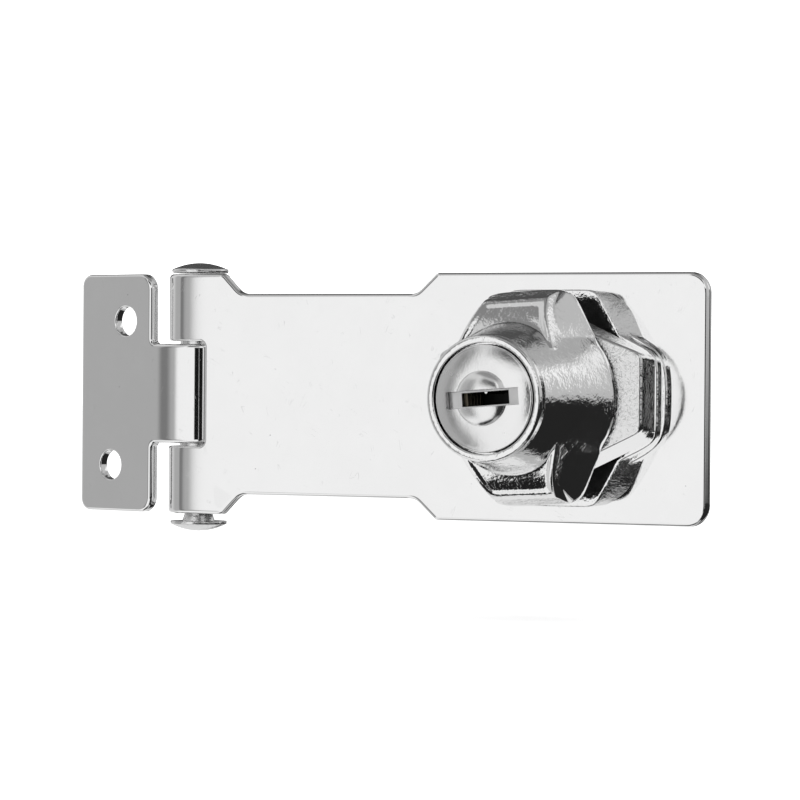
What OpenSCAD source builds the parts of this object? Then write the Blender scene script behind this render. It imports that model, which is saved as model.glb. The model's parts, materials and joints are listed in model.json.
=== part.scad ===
// Keyed turn-knob hasp and staple, with a hinged leaf.
// Millimetres. Z runs up along the hinge pin and X from the hinge to the lock.
// The origin is where the lock axis meets the mounting surface, and the knob points to -Y.

/* [Plates] */
// Height of the plates along the hinge pin
plate_h = 41; // [38:0.5:44]
// Thickness of the rolled sheet
sheet_t = 1.8; // [1.7:0.1:2]
// Distance from the hinge axis to the lock axis
hinge_to_lock = 71; // [68:1:80]
// Distance from the lock axis to the free end of the hasp plate
tip_l = 26; // [24:0.5:32]
// Height of the narrow neck of the hasp plate
neck_h = 34.1; // [30:0.1:36]
// Radius of the two free corners
tip_corner_r = 3.4; // [2:0.1:6]

/* [Hinge] */
// Outer radius of the rolled knuckles
knuckle_r = 5.2; // [4.8:0.1:6]
// Radius of the hinge pin
pin_r = 3.35; // [2.8:0.05:3.35]
// Length of the leaf's own knuckle
mid_knuckle_l = 17; // [14:0.5:20]
// Angle by which the leaf is folded back at rest
leaf_angle = 15; // [0:1:60]
// Distance from the hinge axis to the leaf's far edge
leaf_l = 24.1; // [22:0.1:30]
// Radius of the two screw holes in the leaf
leaf_hole_r = 2.6; // [2:0.1:2.8]

/* [Lock] */
// Height of the six-sided housing above the plate
housing_h = 8.2; // [8:0.1:9]
// Height of the lock's front rim above the plate
barrel_h = 28.4; // [27:0.1:30]
// Radius of the knob's barrel at its front rim
barrel_r = 10.05; // [10:0.05:11]
// Radius of the round part of the knob's skirt
skirt_r = 14; // [13.8:0.1:15]
// Half the length of the knob across its two wings
wing_reach = 17.2; // [16.5:0.1:18]
// Angle of the wings from upright, at rest
wing_turn = 3; // [0:0.5:5]
// Travel of the locking bolt
bolt_travel = 2.2; // [1.5:0.1:2.2]

/* [Staple] */
// Width of the staple's base plate
staple_w = 39; // [38:0.5:40]
// Height of the staple's base plate
staple_h = 30; // [28:0.5:32]
// Thickness of the staple's base plate
staple_t = 2.5; // [2:0.1:3]
// Radius of the staple's post
post_r = 2.9; // [2.5:0.1:3]

/* [Hidden] */

$fn = 96;

// Radial clearance of every running fit, and a small gap between parts that don't touch
fit = 0.05;
gap = 0.1;
eps = 0.01;

// Plate levels, measured from the mounting surface
plate_front = 2 * knuckle_r;
plate_back = plate_front - sheet_t;

// Hinge
bore_r = pin_r + fit;
slot_half = mid_knuckle_l / 2 + 0.5;
slot_reach = knuckle_r - 1;
slot_corner_r = 0.8;
leaf_notch = knuckle_r + 1.6;
leaf_corner_r = 2;
leaf_hole_near = [12.9, 12.4];
leaf_hole_far = [16.5, -12.5];
seam_w = 0.35;
chamfer_w = 3.8;
hinge_block = 7.5;
edge_r = 0.5;

// Hinge pin heads
head_r = 4.85;
head_h = 1.7;
head_rim = 0.45;
neck_r = 2.3;
top_head_gap = 0.45;
bottom_head_gap = 1.4;

// Housing, in heights above the plate's front face
lobe_foot = [[14.3, 10.8], [12.75, 14.4], [10.5, 16.5], [7.25, 17.6]];
lobe_top = [[12.6, 9.4], [10.2, 13.4], [8.4, 16.4], [7.4, 17.5]];
tier_h = [1.8, 3.3];
boss_r = 11;
boss_h = 12;
cavity_r = 12.2;
cavity_h = 3.2;
cup_cavity_r = 9.2;
cup_cavity_h = 9;
screw_x = 14.8;
screw_z = 5.6;
screw_r = 1.5;
screw_head_r = 2.9;
screw_head_h = 1.4;
housing_screw_l = 5.6;

// Latch cam: a flange, a cup that holds the staple's head, a spindle and a square drive
flange_r = 11.9;
flange_h = [0.8, 2.8];
cup_r = 9;
chamber_r = 7;
chamber_h = 6.8;
web_h = 8.4;
spindle_r = 4.8;
drive_w = 6.6;
drive_h = [12.2, 14.5];
head_slot = [12.8, 6.8];
cam_screw_head_r = 3.2;
cam_screw_head_h = 1.7;

// Detent
ball_r = 1.2;
ball_reach = flange_r + fit + ball_r;
detent_h = 1.8;
detent_end = 17.6;

// Knob
skirt_h = 8.9;
flank_h = 10.2;
tongue_h = [14.5, 17];
rim_h = [16.5, 20.4];
slab_t = 0.01;
recess_r = boss_r + 0.15;
recess_h = 12.3;
hub_cavity_r = 9.2;
hub_cavity_h = 20.5;
seat_h = 26.5;
plug_face_r = 8.75;

// Spindle hub
hub_r = hub_cavity_r - 0.02;
hub_h = [12.4, 15.2];
hub_boss_r = 2.6;
hub_boss_h = 16.6;
hub_pocket_h = 13.4;

// Key plug
plug_r = 6.2;
plug_rear_h = 20.55;
dome_r = 4.35;
dome_h = 30.8;
face_rise = 1;
slot_l = 12.6;
slot_w = 2.9;
slot_floor_h = 27.2;
keyway_l = 8.2;
keyway_w = 2.1;
keyway_turn = 4.5;
tail_w = 5;
tail_h = 17.9;
tail_screw_r = 0.9;
tail_screw_head_r = 3.4;
clip_h = [19.65, 20.45];
clip_groove_r = 3.6;
wafer_t = 0.8;
wafer_half = [5.5, 2.4];
wafer_count = 5;
wafer_pitch = 1.15;
wafer_first_h = 21.1;

// Locking bolt and the stepped ramp that drives it
bolt_at = 6.6;
bolt_r = 1.3;
bolt_tip_h = 12.6;
bolt_head_h = 16.4;
bolt_head_r = 2;
bolt_nose_r = 0.7;
bolt_top_h = 17.35;
ramp_steps = 9;
ramp_r = [4.6, 8.4];
ramp_lead = 16;
ramp_tail = 30;
ramp_high_h = 17.75;
inset = 0.03;

// Staple
staple_hole_dx = 30;
staple_hole_dz = 20;
staple_hole_r = 2.3;
staple_head_h = [3, 6.6];
staple_head = [12, 6];
post_collar_r = 5;
post_collar_h = 2;
plate_slot = [13.4, 7.4];

// Puts a shape drawn on the face, with its height from the mounting surface, in place
module face(h = 0) {
    rotate([90, 0, 0])
        translate([0, 0, h])
            children();
}

// The same, with the height counted from the front of the hasp plate
module lock(h = 0) {
    face(plate_front + h)
        children();
}

// A box centred on the lock axis, between two heights
module block(size, h) {
    translate([-size[0] / 2, -size[1] / 2, h[0]])
        cube([size[0], size[1], h[1] - h[0]]);
}

// A disc or a ring on the lock axis, between two heights
module disc(r, h) {
    translate([0, 0, h[0]])
        cylinder(r = r, h = h[1] - h[0]);
}

module ring(r_out, r_in, h) {
    difference() {
        disc(r_out, h);
        disc(r_in, [h[0] - 1, h[1] + 1]);
    }
}

// A coil of round wire standing on XY
module coil(r, wire_r, length, turns) {
    steps = turns * 12;
    for (i = [0 : steps - 1])
        hull()
            for (k = [i, i + 1])
                rotate([0, 0, 30 * k])
                    translate([r, 0, wire_r + (length - 2 * wire_r) * k / steps])
                        sphere(r = wire_r, $fn = 8);
}

// A countersunk screw with its flat head down at zero
module flat_screw(r, head_r, head_h, length) {
    difference() {
        union() {
            cylinder(r1 = head_r, r2 = r, h = head_h);
            cylinder(r = r, h = length);
        }
        for (turn = [0, 90])
            rotate([0, 0, turn])
                translate([-head_r * 0.55, -0.3, -1])
                    cube([head_r * 1.1, 0.6, 1.7]);
    }
}

module at_housing_screws() {
    for (x = [-screw_x, screw_x], z = [-screw_z, screw_z])
        translate([x, z, 0])
            children();
}

// ---- Hinge ----

module at_hinge() {
    translate([-hinge_to_lock, -knuckle_r, 0])
        children();
}

// A length of rolled knuckle round the hinge axis, tangent to the sheet at the front
module knuckle(z0, z1) {
    translate([0, 0, z0])
        cylinder(r = knuckle_r, h = z1 - z0);
    translate([0, -knuckle_r, z0])
        cube([knuckle_r, sheet_t, z1 - z0]);
}

// The slit where the rolled end comes back round to the sheet
module roll_seam() {
    translate([bore_r * 0.7, -knuckle_r + sheet_t, -plate_h])
        cube([knuckle_r, seam_w, 2 * plate_h]);
}

module hinge_bore() {
    translate([0, 0, -plate_h])
        cylinder(r = bore_r, h = 2 * plate_h);
}

// Flat leaf with its hinge on Z, before it is folded back
module flat_leaf() {
    difference() {
        union() {
            mirror([1, 0, 0])
                knuckle(-mid_knuckle_l / 2, mid_knuckle_l / 2);
            translate([0, -knuckle_r, 0])
                rotate([-90, 0, 0])
                    linear_extrude(sheet_t)
                        leaf_outline();
        }
        hinge_bore();
        mirror([1, 0, 0])
            roll_seam();
        for (hole = [leaf_hole_near, leaf_hole_far])
            translate([-hole[0], 0, hole[1]])
                rotate([90, 0, 0])
                    cylinder(r = leaf_hole_r, h = 2 * knuckle_r);
    }
}

// A rectangle with rounded corners
module rounded(size, r) {
    translate([r, 0])
        square([size[0] - 2 * r, size[1]]);
    translate([0, r])
        square([size[0], size[1] - 2 * r]);
    for (x = [r, size[0] - r], y = [r, size[1] - r])
        translate([x, y])
            circle(r = r);
}

module leaf_outline() {
    translate([-leaf_l, -plate_h / 2])
        rounded([leaf_l - leaf_notch, plate_h], leaf_corner_r);
    translate([-leaf_notch - leaf_corner_r - 1, -mid_knuckle_l / 2])
        square([leaf_notch + leaf_corner_r + 1, mid_knuckle_l]);
}

module hinge_leaf() {
    color("darkgray")
        at_hinge()
            rotate([0, 0, -leaf_angle])
                flat_leaf();
}

module hasp_outline() {
    half = plate_h / 2;
    neck = neck_h / 2;
    hinge = -hinge_to_lock;
    rise = half - neck;
    neck_end = -tip_l - 0.6;
    difference() {
        union() {
            polygon([
                [hinge, -half], [hinge + hinge_block, -half], [hinge + hinge_block + rise, -neck],
                [neck_end, -neck], [neck_end + chamfer_w, -half], [tip_l - tip_corner_r, -half],
                [tip_l - tip_corner_r, half], [neck_end + chamfer_w, half], [neck_end, neck],
                [hinge + hinge_block + rise, neck], [hinge + hinge_block, half], [hinge, half]
            ]);
            translate([0, -half])
                rounded([tip_l, plate_h], tip_corner_r);
        }
        translate([hinge - slot_corner_r - 1, -slot_half])
            rounded([slot_corner_r + 1 + slot_reach, 2 * slot_half], slot_corner_r);
        square(plate_slot, center = true);
    }
}

module hasp_plate() {
    color("gainsboro")
        difference() {
            union() {
                face(plate_back)
                    linear_extrude(sheet_t)
                        hasp_outline();
                at_hinge() {
                    knuckle(slot_half, plate_h / 2);
                    knuckle(-plate_h / 2, -slot_half);
                }
            }
            at_hinge() {
                hinge_bore();
                roll_seam();
            }
            face(plate_back - eps)
                at_housing_screws() {
                    cylinder(r1 = screw_head_r + fit, r2 = screw_r + fit, h = screw_head_h);
                    cylinder(r = screw_r + fit, h = 2 * sheet_t);
                }
        }
}

// Half profile of a pin head, from its flat underside at zero to its domed top
module pin_head() {
    dome_h = head_h - head_rim;
    ball = (head_r * head_r + dome_h * dome_h) / (2 * dome_h);
    cylinder(r = head_r, h = head_rim);
    intersection() {
        translate([0, 0, head_rim])
            cylinder(r = head_r, h = dome_h);
        translate([0, 0, head_h - ball])
            sphere(r = ball);
    }
}

module hinge_pin() {
    half = plate_h / 2;
    color("silver")
        at_hinge() {
            translate([0, 0, -half + gap])
                cylinder(r = pin_r, h = plate_h - 2 * gap);
            translate([0, 0, -half - bottom_head_gap])
                cylinder(r1 = neck_r + 0.5, r2 = neck_r, h = bottom_head_gap + 2 * gap);
            translate([0, 0, -half - bottom_head_gap])
                mirror([0, 0, 1])
                    pin_head();
        }
}

module hinge_pin_cap() {
    half = plate_h / 2;
    color("silver")
        at_hinge() {
            translate([0, 0, half - gap])
                cylinder(r = neck_r, h = top_head_gap + gap);
            translate([0, 0, half + top_head_gap])
                pin_head();
        }
}

// ---- Lock housing ----

// Six-sided outline: half width a, the heights of its two peaks, and how fast its upper sides fall
module hexagon(a, top, bottom, fall = 0.46) {
    rise = 0.46;
    polygon([
        [-a, rise * a - bottom], [0, -bottom], [a, rise * a - bottom],
        [a, top - fall * a], [0, top], [-a, top - fall * a]
    ]);
}

// Low tier that reaches out under the two wings, with sloping sides. Each level lists the corners
// of one quarter.
module lobes() {
    hull()
        for (level = [[0, lobe_foot], [tier_h[1] - eps, lobe_top]], x = [-1, 1], y = [-1, 1])
            translate([0, 0, level[0]])
                scale([x, y, 1])
                    linear_extrude(eps)
                        polygon(concat([[0, 0]], level[1]));
}

module housing_body() {
    linear_extrude(tier_h[0])
        hexagon(19.4, 16.6, 16.6);
    linear_extrude(tier_h[1])
        hexagon(18.8, 16, 15.7);
    hull() {
        linear_extrude(tier_h[1])
            hexagon(18.2, 15.3, 14.9);
        linear_extrude(housing_h)
            hexagon(17.9, 13.8, 13.6, 0.36);
    }
    lobes();
    cylinder(r = boss_r, h = boss_h);
}

module lock_housing() {
    color("lightgray")
        lock()
            difference() {
                housing_body();
                disc(cavity_r, [-1, cavity_h]);
                disc(cup_cavity_r, [0, cup_cavity_h]);
                disc(spindle_r + fit, [0, boss_h + 1]);
                at_housing_screws()
                    disc(screw_r, [-1, housing_screw_l - sheet_t + 0.4]);
                translate([0, 0, detent_h])
                    rotate([0, -90, 0])
                        cylinder(r = ball_r + fit, h = detent_end);
                for (at = [[bolt_at, 0], [0, -bolt_at]])
                    translate([at[0], at[1], boss_h - bolt_travel])
                        cylinder(r = bolt_r + 2 * fit, h = bolt_travel + 1);
            }
}

module housing_screws() {
    color("dimgray")
        face(plate_back)
            at_housing_screws()
                flat_screw(screw_r, screw_head_r, screw_head_h, housing_screw_l);
}

// ---- Knob ----

// Outline of one wing at a level: half widths at its shoulder and its tip, and how far out they are
module wing_level(h, shoulder, shoulder_at, tip, tip_at) {
    root = shoulder_at - 4;
    translate([0, 0, h - slab_t])
        linear_extrude(slab_t)
            polygon([
                [-shoulder, root], [shoulder, root], [shoulder, shoulder_at], [tip, tip_at],
                [-tip, tip_at], [-shoulder, shoulder_at]
            ]);
}

// Lower outline of the knob: a round skirt with a tapered wing up and down
module skirt() {
    translate([0, 0, skirt_h])
        linear_extrude(flank_h - skirt_h) {
            circle(r = skirt_r);
            for (s = [-1, 1])
                scale([1, s])
                    polygon([
                        [-11, 4], [11, 4], [11, 8.9], [7.4, wing_reach],
                        [-7.4, wing_reach], [-11, 8.9]
                    ]);
        }
}

// One wing: sloping flanks, and on them a raised bar whose front face falls towards the tip
module wing() {
    hull() {
        wing_level(flank_h, 11, 8.9, 7.4, wing_reach);
        wing_level(tongue_h[0], 8.6, 11.8, 6.4, 15.1);
        wing_level(tongue_h[1], 8, 9.8, 6.9, 12.4);
    }
    hull() {
        wing_level(flank_h, 9.6, 9.6, 6.6, wing_reach);
        wing_level(rim_h[0], 7, 12, 5.4, 16.1);
        wing_level(rim_h[1], 7.6, 9.6, 7.4, 10.1);
    }
}

module knob_body() {
    skirt();
    for (turn = [0, 180])
        rotate([0, 0, turn])
            wing();
    translate([0, 0, flank_h])
        cylinder(r1 = skirt_r, r2 = barrel_r, h = seat_h - flank_h);
}

module knob_handle() {
    color("silver")
        lock()
            difference() {
                rotate([0, 0, wing_turn])
                    knob_body();
                disc(recess_r, [0, recess_h]);
                disc(hub_cavity_r, [0, hub_cavity_h]);
                disc(plug_r + fit, [0, barrel_h]);
            }
}

module front_bezel() {
    color("whitesmoke")
        lock()
            difference() {
                union() {
                    disc(barrel_r, [seat_h, barrel_h - edge_r]);
                    translate([0, 0, barrel_h - edge_r])
                        cylinder(r1 = barrel_r, r2 = barrel_r - edge_r, h = edge_r);
                }
                disc(plug_face_r + fit, [seat_h - 1, barrel_h + 1]);
            }
}

module spindle_hub() {
    color("gray")
        lock()
            difference() {
                union() {
                    disc(hub_r, hub_h);
                    disc(hub_boss_r, [hub_h[0], hub_boss_h]);
                }
                block([drive_w + 2 * fit, drive_w + 2 * fit], [hub_h[0] - 1, drive_h[1] + fit]);
                disc(screw_r, [hub_h[0], hub_boss_h + 1]);
                translate([bolt_at, 0, hub_h[0] - 1])
                    cylinder(r = bolt_r + fit, h = 5);
                translate([bolt_at, 0, hub_pocket_h])
                    cylinder(r = bolt_head_r + gap, h = 5);
            }
}

module latch_cam() {
    color("gray")
        lock()
            difference() {
                union() {
                    disc(flange_r, flange_h);
                    disc(cup_r, [flange_h[0], web_h]);
                    disc(spindle_r, [web_h - 1, drive_h[0]]);
                    block([drive_w, drive_w], [drive_h[0] - 1, drive_h[1]]);
                }
                disc(chamber_r, [flange_h[1], chamber_h]);
                block(head_slot, [0, flange_h[1] + 1]);
                disc(screw_r, [0, drive_h[1] + 1]);
                translate([0, 0, chamber_h - eps])
                    cylinder(r1 = cam_screw_head_r + fit, r2 = screw_r + fit, h = cam_screw_head_h);
                for (at = [[-1, 0], [0, -1]])
                    translate([at[0] * ball_reach, at[1] * ball_reach, detent_h])
                        sphere(r = ball_r + 4 * fit);
            }
}

module cam_screw() {
    color("dimgray")
        lock(chamber_h)
            flat_screw(screw_r, cam_screw_head_r, cam_screw_head_h, hub_boss_h - chamber_h - 0.4);
}

module spring_washer() {
    color("silver")
        lock()
            ring(cup_r - 0.3, spindle_r + 0.3, [web_h + gap, cup_cavity_h - gap]);
}

module detent_ball() {
    color("silver")
        lock()
            translate([-ball_reach, 0, detent_h])
                sphere(r = ball_r);
}

module detent_spring() {
    color("gray")
        lock()
            translate([-detent_end + fit, 0, detent_h])
                rotate([0, 90, 0])
                    coil(0.75, 0.22, detent_end - ball_reach - ball_r - 2 * fit, 4);
}

// ---- Key plug ----

// Half section of the plug: a crowned face with a dome on it, the body and its neck
module plug_section() {
    rim = barrel_h - 0.2;
    edge = 0.3;
    arc = 12;
    crown = rim + face_rise;
    polygon(concat(
        [[0, clip_h[0] - fit], [clip_groove_r, clip_h[0] - fit], [clip_groove_r, clip_h[1] + fit]],
        [[plug_r - 1, clip_h[1] + fit], [plug_r - 1, plug_rear_h], [plug_r, plug_rear_h]],
        [[plug_r, seat_h + gap], [plug_face_r, seat_h + gap], [plug_face_r, rim - edge]],
        [for (i = [0 : arc]) let (t = i / arc)
            [plug_face_r - edge + (dome_r - plug_face_r + edge) * t, rim + face_rise * t * (2 - t)]],
        [for (i = [1 : arc]) let (a = 90 * i / arc)
            [dome_r * cos(a), crown + (dome_h - crown) * sin(a)]]
    ));
}

module key_plug() {
    color("whitesmoke")
        lock()
            difference() {
                union() {
                    rotate_extrude()
                        plug_section();
                    block([tail_w, tail_w], [tail_h, clip_h[0]]);
                }
                rotate([0, 0, keyway_turn]) {
                    block([slot_l, slot_w], [slot_floor_h, dome_h + 1]);
                    block([keyway_l, keyway_w], [plug_rear_h, barrel_h]);
                    for (i = [0 : wafer_count - 1])
                        block(
                            [2 * plug_r + 1, 2 * wafer_half[1] + 2 * fit],
                            [wafer_at(i) - fit, wafer_at(i) + wafer_t + fit]
                        );
                }
                disc(tail_screw_r, [tail_h - 1, tail_h + 1.5]);
            }
}

function wafer_at(i) = wafer_first_h + wafer_pitch * i;

module keyway_liner() {
    color("gray")
        lock()
            rotate([0, 0, keyway_turn])
                difference() {
                    block([slot_l - 2 * gap, slot_w - 2 * fit], [slot_floor_h, slot_floor_h + 0.35]);
                    block([keyway_l, keyway_w], [slot_floor_h - 1, slot_floor_h + 1]);
                }
}

module plug_wafers() {
    color("goldenrod")
        lock()
            rotate([0, 0, keyway_turn])
                for (i = [0 : wafer_count - 1])
                    translate([0, 0, wafer_at(i)])
                        difference() {
                            block(2 * wafer_half, [0, wafer_t]);
                            block([keyway_l - 1, keyway_w + 0.6], [-1, wafer_t + 1]);
                        }
}

module plug_clip() {
    color("dimgray")
        lock()
            difference() {
                ring(plug_r + 1.2, clip_groove_r + fit, clip_h);
                translate([-2.4, 0, clip_h[0] - 1])
                    cube([4.8, plug_r + 3, 3]);
            }
}

// Disc on the plug's tail, with a stepped ramp that pushes the bolt back.
// Each step stands a hair inside the one before it.
module tail_cam() {
    step = bolt_travel / ramp_steps;
    arc = 90 / ramp_steps;
    plate = [ramp_high_h + gap, clip_h[0] - gap];
    width = ramp_r[1] - ramp_r[0];
    color("gray")
        lock()
            difference() {
                union() {
                    disc(ramp_r[1] + gap, plate);
                    for (i = [1 : ramp_steps])
                        rotate([0, 0, ramp_lead + arc * (i - 1)])
                            translate([0, 0, plate[0] - step * i])
                                rotate_extrude(angle = (arc - 1) * (ramp_steps - i) + ramp_tail)
                                    translate([ramp_r[0] + i * inset, 0])
                                        square([width - 2 * i * inset, step * i + gap]);
                }
                block([tail_w + 2 * fit, tail_w + 2 * fit], [plate[0] - 1, plate[1] + 1]);
            }
}

module tail_screw() {
    color("dimgray")
        lock(tail_h - 0.7) {
            cylinder(r = tail_screw_head_r, h = 0.65);
            cylinder(r = tail_screw_r, h = 2);
        }
}

// ---- Locking bolt ----

module lock_bolt() {
    color("silver")
        lock()
            translate([bolt_at, 0, 0]) {
                disc(bolt_r, [bolt_tip_h, bolt_head_h]);
                translate([0, 0, bolt_head_h])
                    cylinder(r1 = bolt_head_r, r2 = bolt_nose_r, h = bolt_top_h - bolt_head_h);
            }
}

module bolt_spring() {
    color("gray")
        lock()
            translate([bolt_at, 0, hub_pocket_h])
                coil(bolt_r + 0.4, 0.15, bolt_head_h - hub_pocket_h, 4);
}

// ---- Staple ----

module staple_plate() {
    corner = 3;
    color("silver")
        face()
            difference() {
                union() {
                    block([staple_w - 2 * corner, staple_h], [0, staple_t]);
                    block([staple_w, staple_h - 2 * corner], [0, staple_t]);
                    for (x = [-1, 1], z = [-1, 1])
                        translate([x * (staple_w / 2 - corner), z * (staple_h / 2 - corner), 0])
                            cylinder(r = corner, h = staple_t);
                }
                for (x = [-1, 1], z = [-1, 1])
                    translate([x * staple_hole_dx / 2, z * staple_hole_dz / 2, 0]) {
                        translate([0, 0, -1])
                            cylinder(r = staple_hole_r, h = staple_t + 2);
                        translate([0, 0, staple_t - 1])
                            cylinder(r1 = staple_hole_r, r2 = staple_hole_r + 1.2, h = 1 + eps);
                    }
                disc(post_r - 0.5, [staple_t - 1.5, staple_t + 1]);
            }
}

module staple_post() {
    top = plate_front + staple_head_h[1];
    color("silver")
        face() {
            disc(post_r - 0.5, [staple_t - 1.5, staple_t + 1]);
            disc(post_collar_r, [staple_t, staple_t + post_collar_h]);
            disc(post_r, [staple_t, top - 1]);
            block(staple_head, [plate_front + staple_head_h[0], top]);
        }
}

hinge_leaf();
hasp_plate();
hinge_pin();
hinge_pin_cap();
lock_housing();
housing_screws();
knob_handle();
front_bezel();
spindle_hub();
latch_cam();
cam_screw();
spring_washer();
detent_ball();
detent_spring();
key_plug();
keyway_liner();
plug_wafers();
plug_clip();
tail_cam();
tail_screw();
lock_bolt();
bolt_spring();
staple_plate();
staple_post();
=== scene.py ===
"""Looks of a keyed turn-knob hasp and staple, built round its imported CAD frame.

The shape code works in millimetres. A point on the face is (u, v, w): u to the right of the lock
axis, v up, and w out of the front, counted from the front of the hasp plate.
"""
import json
import math

import bmesh
import bpy
import numpy as np
from mathutils import Matrix, Vector
from mathutils.geometry import delaunay_2d_cdt


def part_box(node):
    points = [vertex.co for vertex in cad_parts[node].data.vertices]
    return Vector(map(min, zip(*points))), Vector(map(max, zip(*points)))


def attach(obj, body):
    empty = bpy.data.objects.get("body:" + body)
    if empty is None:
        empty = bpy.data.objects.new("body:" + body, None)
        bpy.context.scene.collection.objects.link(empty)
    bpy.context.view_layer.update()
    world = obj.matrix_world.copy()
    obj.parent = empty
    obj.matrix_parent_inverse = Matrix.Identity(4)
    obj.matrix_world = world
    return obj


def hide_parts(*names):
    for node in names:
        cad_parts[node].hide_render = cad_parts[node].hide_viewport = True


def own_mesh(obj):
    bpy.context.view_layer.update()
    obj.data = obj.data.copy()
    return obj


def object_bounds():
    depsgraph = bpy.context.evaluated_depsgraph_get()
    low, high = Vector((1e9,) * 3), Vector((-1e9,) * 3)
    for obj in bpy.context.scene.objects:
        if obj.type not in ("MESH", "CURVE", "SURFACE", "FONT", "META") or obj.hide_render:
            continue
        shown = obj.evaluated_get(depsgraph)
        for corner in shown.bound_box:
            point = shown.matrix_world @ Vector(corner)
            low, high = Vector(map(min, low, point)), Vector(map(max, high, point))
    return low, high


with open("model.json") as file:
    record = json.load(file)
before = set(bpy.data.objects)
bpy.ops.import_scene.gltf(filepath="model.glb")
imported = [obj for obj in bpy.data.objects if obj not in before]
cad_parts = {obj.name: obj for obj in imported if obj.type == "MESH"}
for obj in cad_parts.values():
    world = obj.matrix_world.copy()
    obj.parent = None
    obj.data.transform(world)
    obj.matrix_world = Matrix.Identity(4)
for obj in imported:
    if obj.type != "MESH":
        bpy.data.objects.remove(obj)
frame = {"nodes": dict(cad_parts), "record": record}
cad_low, cad_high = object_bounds()

MM = 0.001
PLATE_FRONT = -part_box("hasp_plate")[0].y / MM
PIN_LOW, PIN_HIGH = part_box("hinge_pin_cap")
HINGE_U = (PIN_LOW.x + PIN_HIGH.x) / 2 / MM
HINGE_W = -(PIN_LOW.y + PIN_HIGH.y) / 2 / MM - PLATE_FRONT
SLOTS = {row["node"]: row["material_slot"] for row in frame["record"]["subparts"]}
# Points of a mesh that are closer than this are one point
WELD = 0.0005
# The radius that stands for none, where a turned shape meets its axis
ON_AXIS = 0.001


# ---- Small helpers ----

def place(points):
    """Points (u, v, w) in millimetres as an array of frame coordinates in metres."""
    p = np.asarray(points, float)
    return np.stack([p[:, 0], -(p[:, 2] + PLATE_FRONT), p[:, 1]], 1) * MM


def height_of(face):
    """How far a face's centre is in front of the hasp plate, in millimetres."""
    return -face.center.y / MM - PLATE_FRONT


def smooth_max(a, b, width):
    return 0.5 * (a + b + np.sqrt((a - b) ** 2 + width ** 2))


def smooth_min(a, b, width):
    return -smooth_max(-a, -b, width)


def ease(x, start, end):
    """0 before start, 1 after end, smooth between them."""
    t = np.clip((x - start) / (end - start), 0, 1)
    return t * t * (3 - 2 * t)


def quarter(count):
    """Angles of a quarter circle, both ends included."""
    return np.linspace(0, math.pi / 2, count + 1)


def full_turn(count):
    return np.linspace(0, 2 * math.pi, count, endpoint=False)


def polar_ring(turn, radius, height):
    """Points (u, v, w) round the lock axis. Radius and height may each vary with the turn."""
    radius = np.broadcast_to(radius, turn.shape)
    height = np.broadcast_to(height, turn.shape)
    return np.column_stack([radius * np.cos(turn), radius * np.sin(turn), height])


def make_mesh(name, verts, faces, crease_deg=35):
    """A piece from points in millimetres, shaded smooth up to the crease angle."""
    mesh = bpy.data.meshes.new(name)
    mesh.from_pydata([tuple(p) for p in place(verts)], [], faces)
    work = bmesh.new()
    work.from_mesh(mesh)
    bmesh.ops.remove_doubles(work, verts=work.verts, dist=WELD * MM)
    bmesh.ops.recalc_face_normals(work, faces=work.faces)
    work.to_mesh(mesh)
    work.free()
    mesh.shade_smooth()
    mesh.set_sharp_from_angle(angle=math.radians(crease_deg))
    piece = bpy.data.objects.new(name, mesh)
    bpy.context.scene.collection.objects.link(piece)
    return piece


def finish_piece(piece, body, slot, material, *nodes):
    """Puts a new piece on its body, with its finish, in place of the CAD nodes it stands for."""
    piece.data.materials.append(material)
    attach(piece, body)
    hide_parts(*nodes)
    return piece


def add_finish(piece, material, chosen):
    """Gives a second material to the faces that chosen() picks."""
    piece.data.materials.append(material)
    for face in piece.data.polygons:
        if chosen(face):
            face.material_index = 1


def skin(rings, tube):
    """Points and faces of a skin over rings of equal length.
    A tube's last ring joins its first. Otherwise both ends are capped."""
    count, size = len(rings), len(rings[0])
    faces = []
    for i in range(count if tube else count - 1):
        a, b = i * size, (i + 1) % count * size
        faces += [(a + k, a + (k + 1) % size, b + (k + 1) % size, b + k) for k in range(size)]
    if not tube:
        faces.append(tuple(range(size)))
        faces.append(tuple((count - 1) * size + k for k in range(size)))
    return np.concatenate(rings), faces


def lathe(profile, segments, tube):
    """Turns a profile of (radius, w) points round the lock axis."""
    turn = full_turn(segments)
    return skin([polar_ring(turn, radius, height) for radius, height in profile], tube)


def cut(piece, cutter, crease_deg):
    """Takes the cutter's shape out of the piece, and shades the result as make_mesh does."""
    tool = piece.modifiers.new("cut", "BOOLEAN")
    tool.operation, tool.solver, tool.object = "DIFFERENCE", "EXACT", cutter
    graph = bpy.context.evaluated_depsgraph_get()
    shaped = bpy.data.meshes.new_from_object(piece.evaluated_get(graph))
    piece.modifiers.clear()
    piece.data = shaped
    piece.data.shade_smooth()
    piece.data.set_sharp_from_angle(angle=math.radians(crease_deg))
    bpy.data.objects.remove(cutter)


# ---- Materials ----

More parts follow.
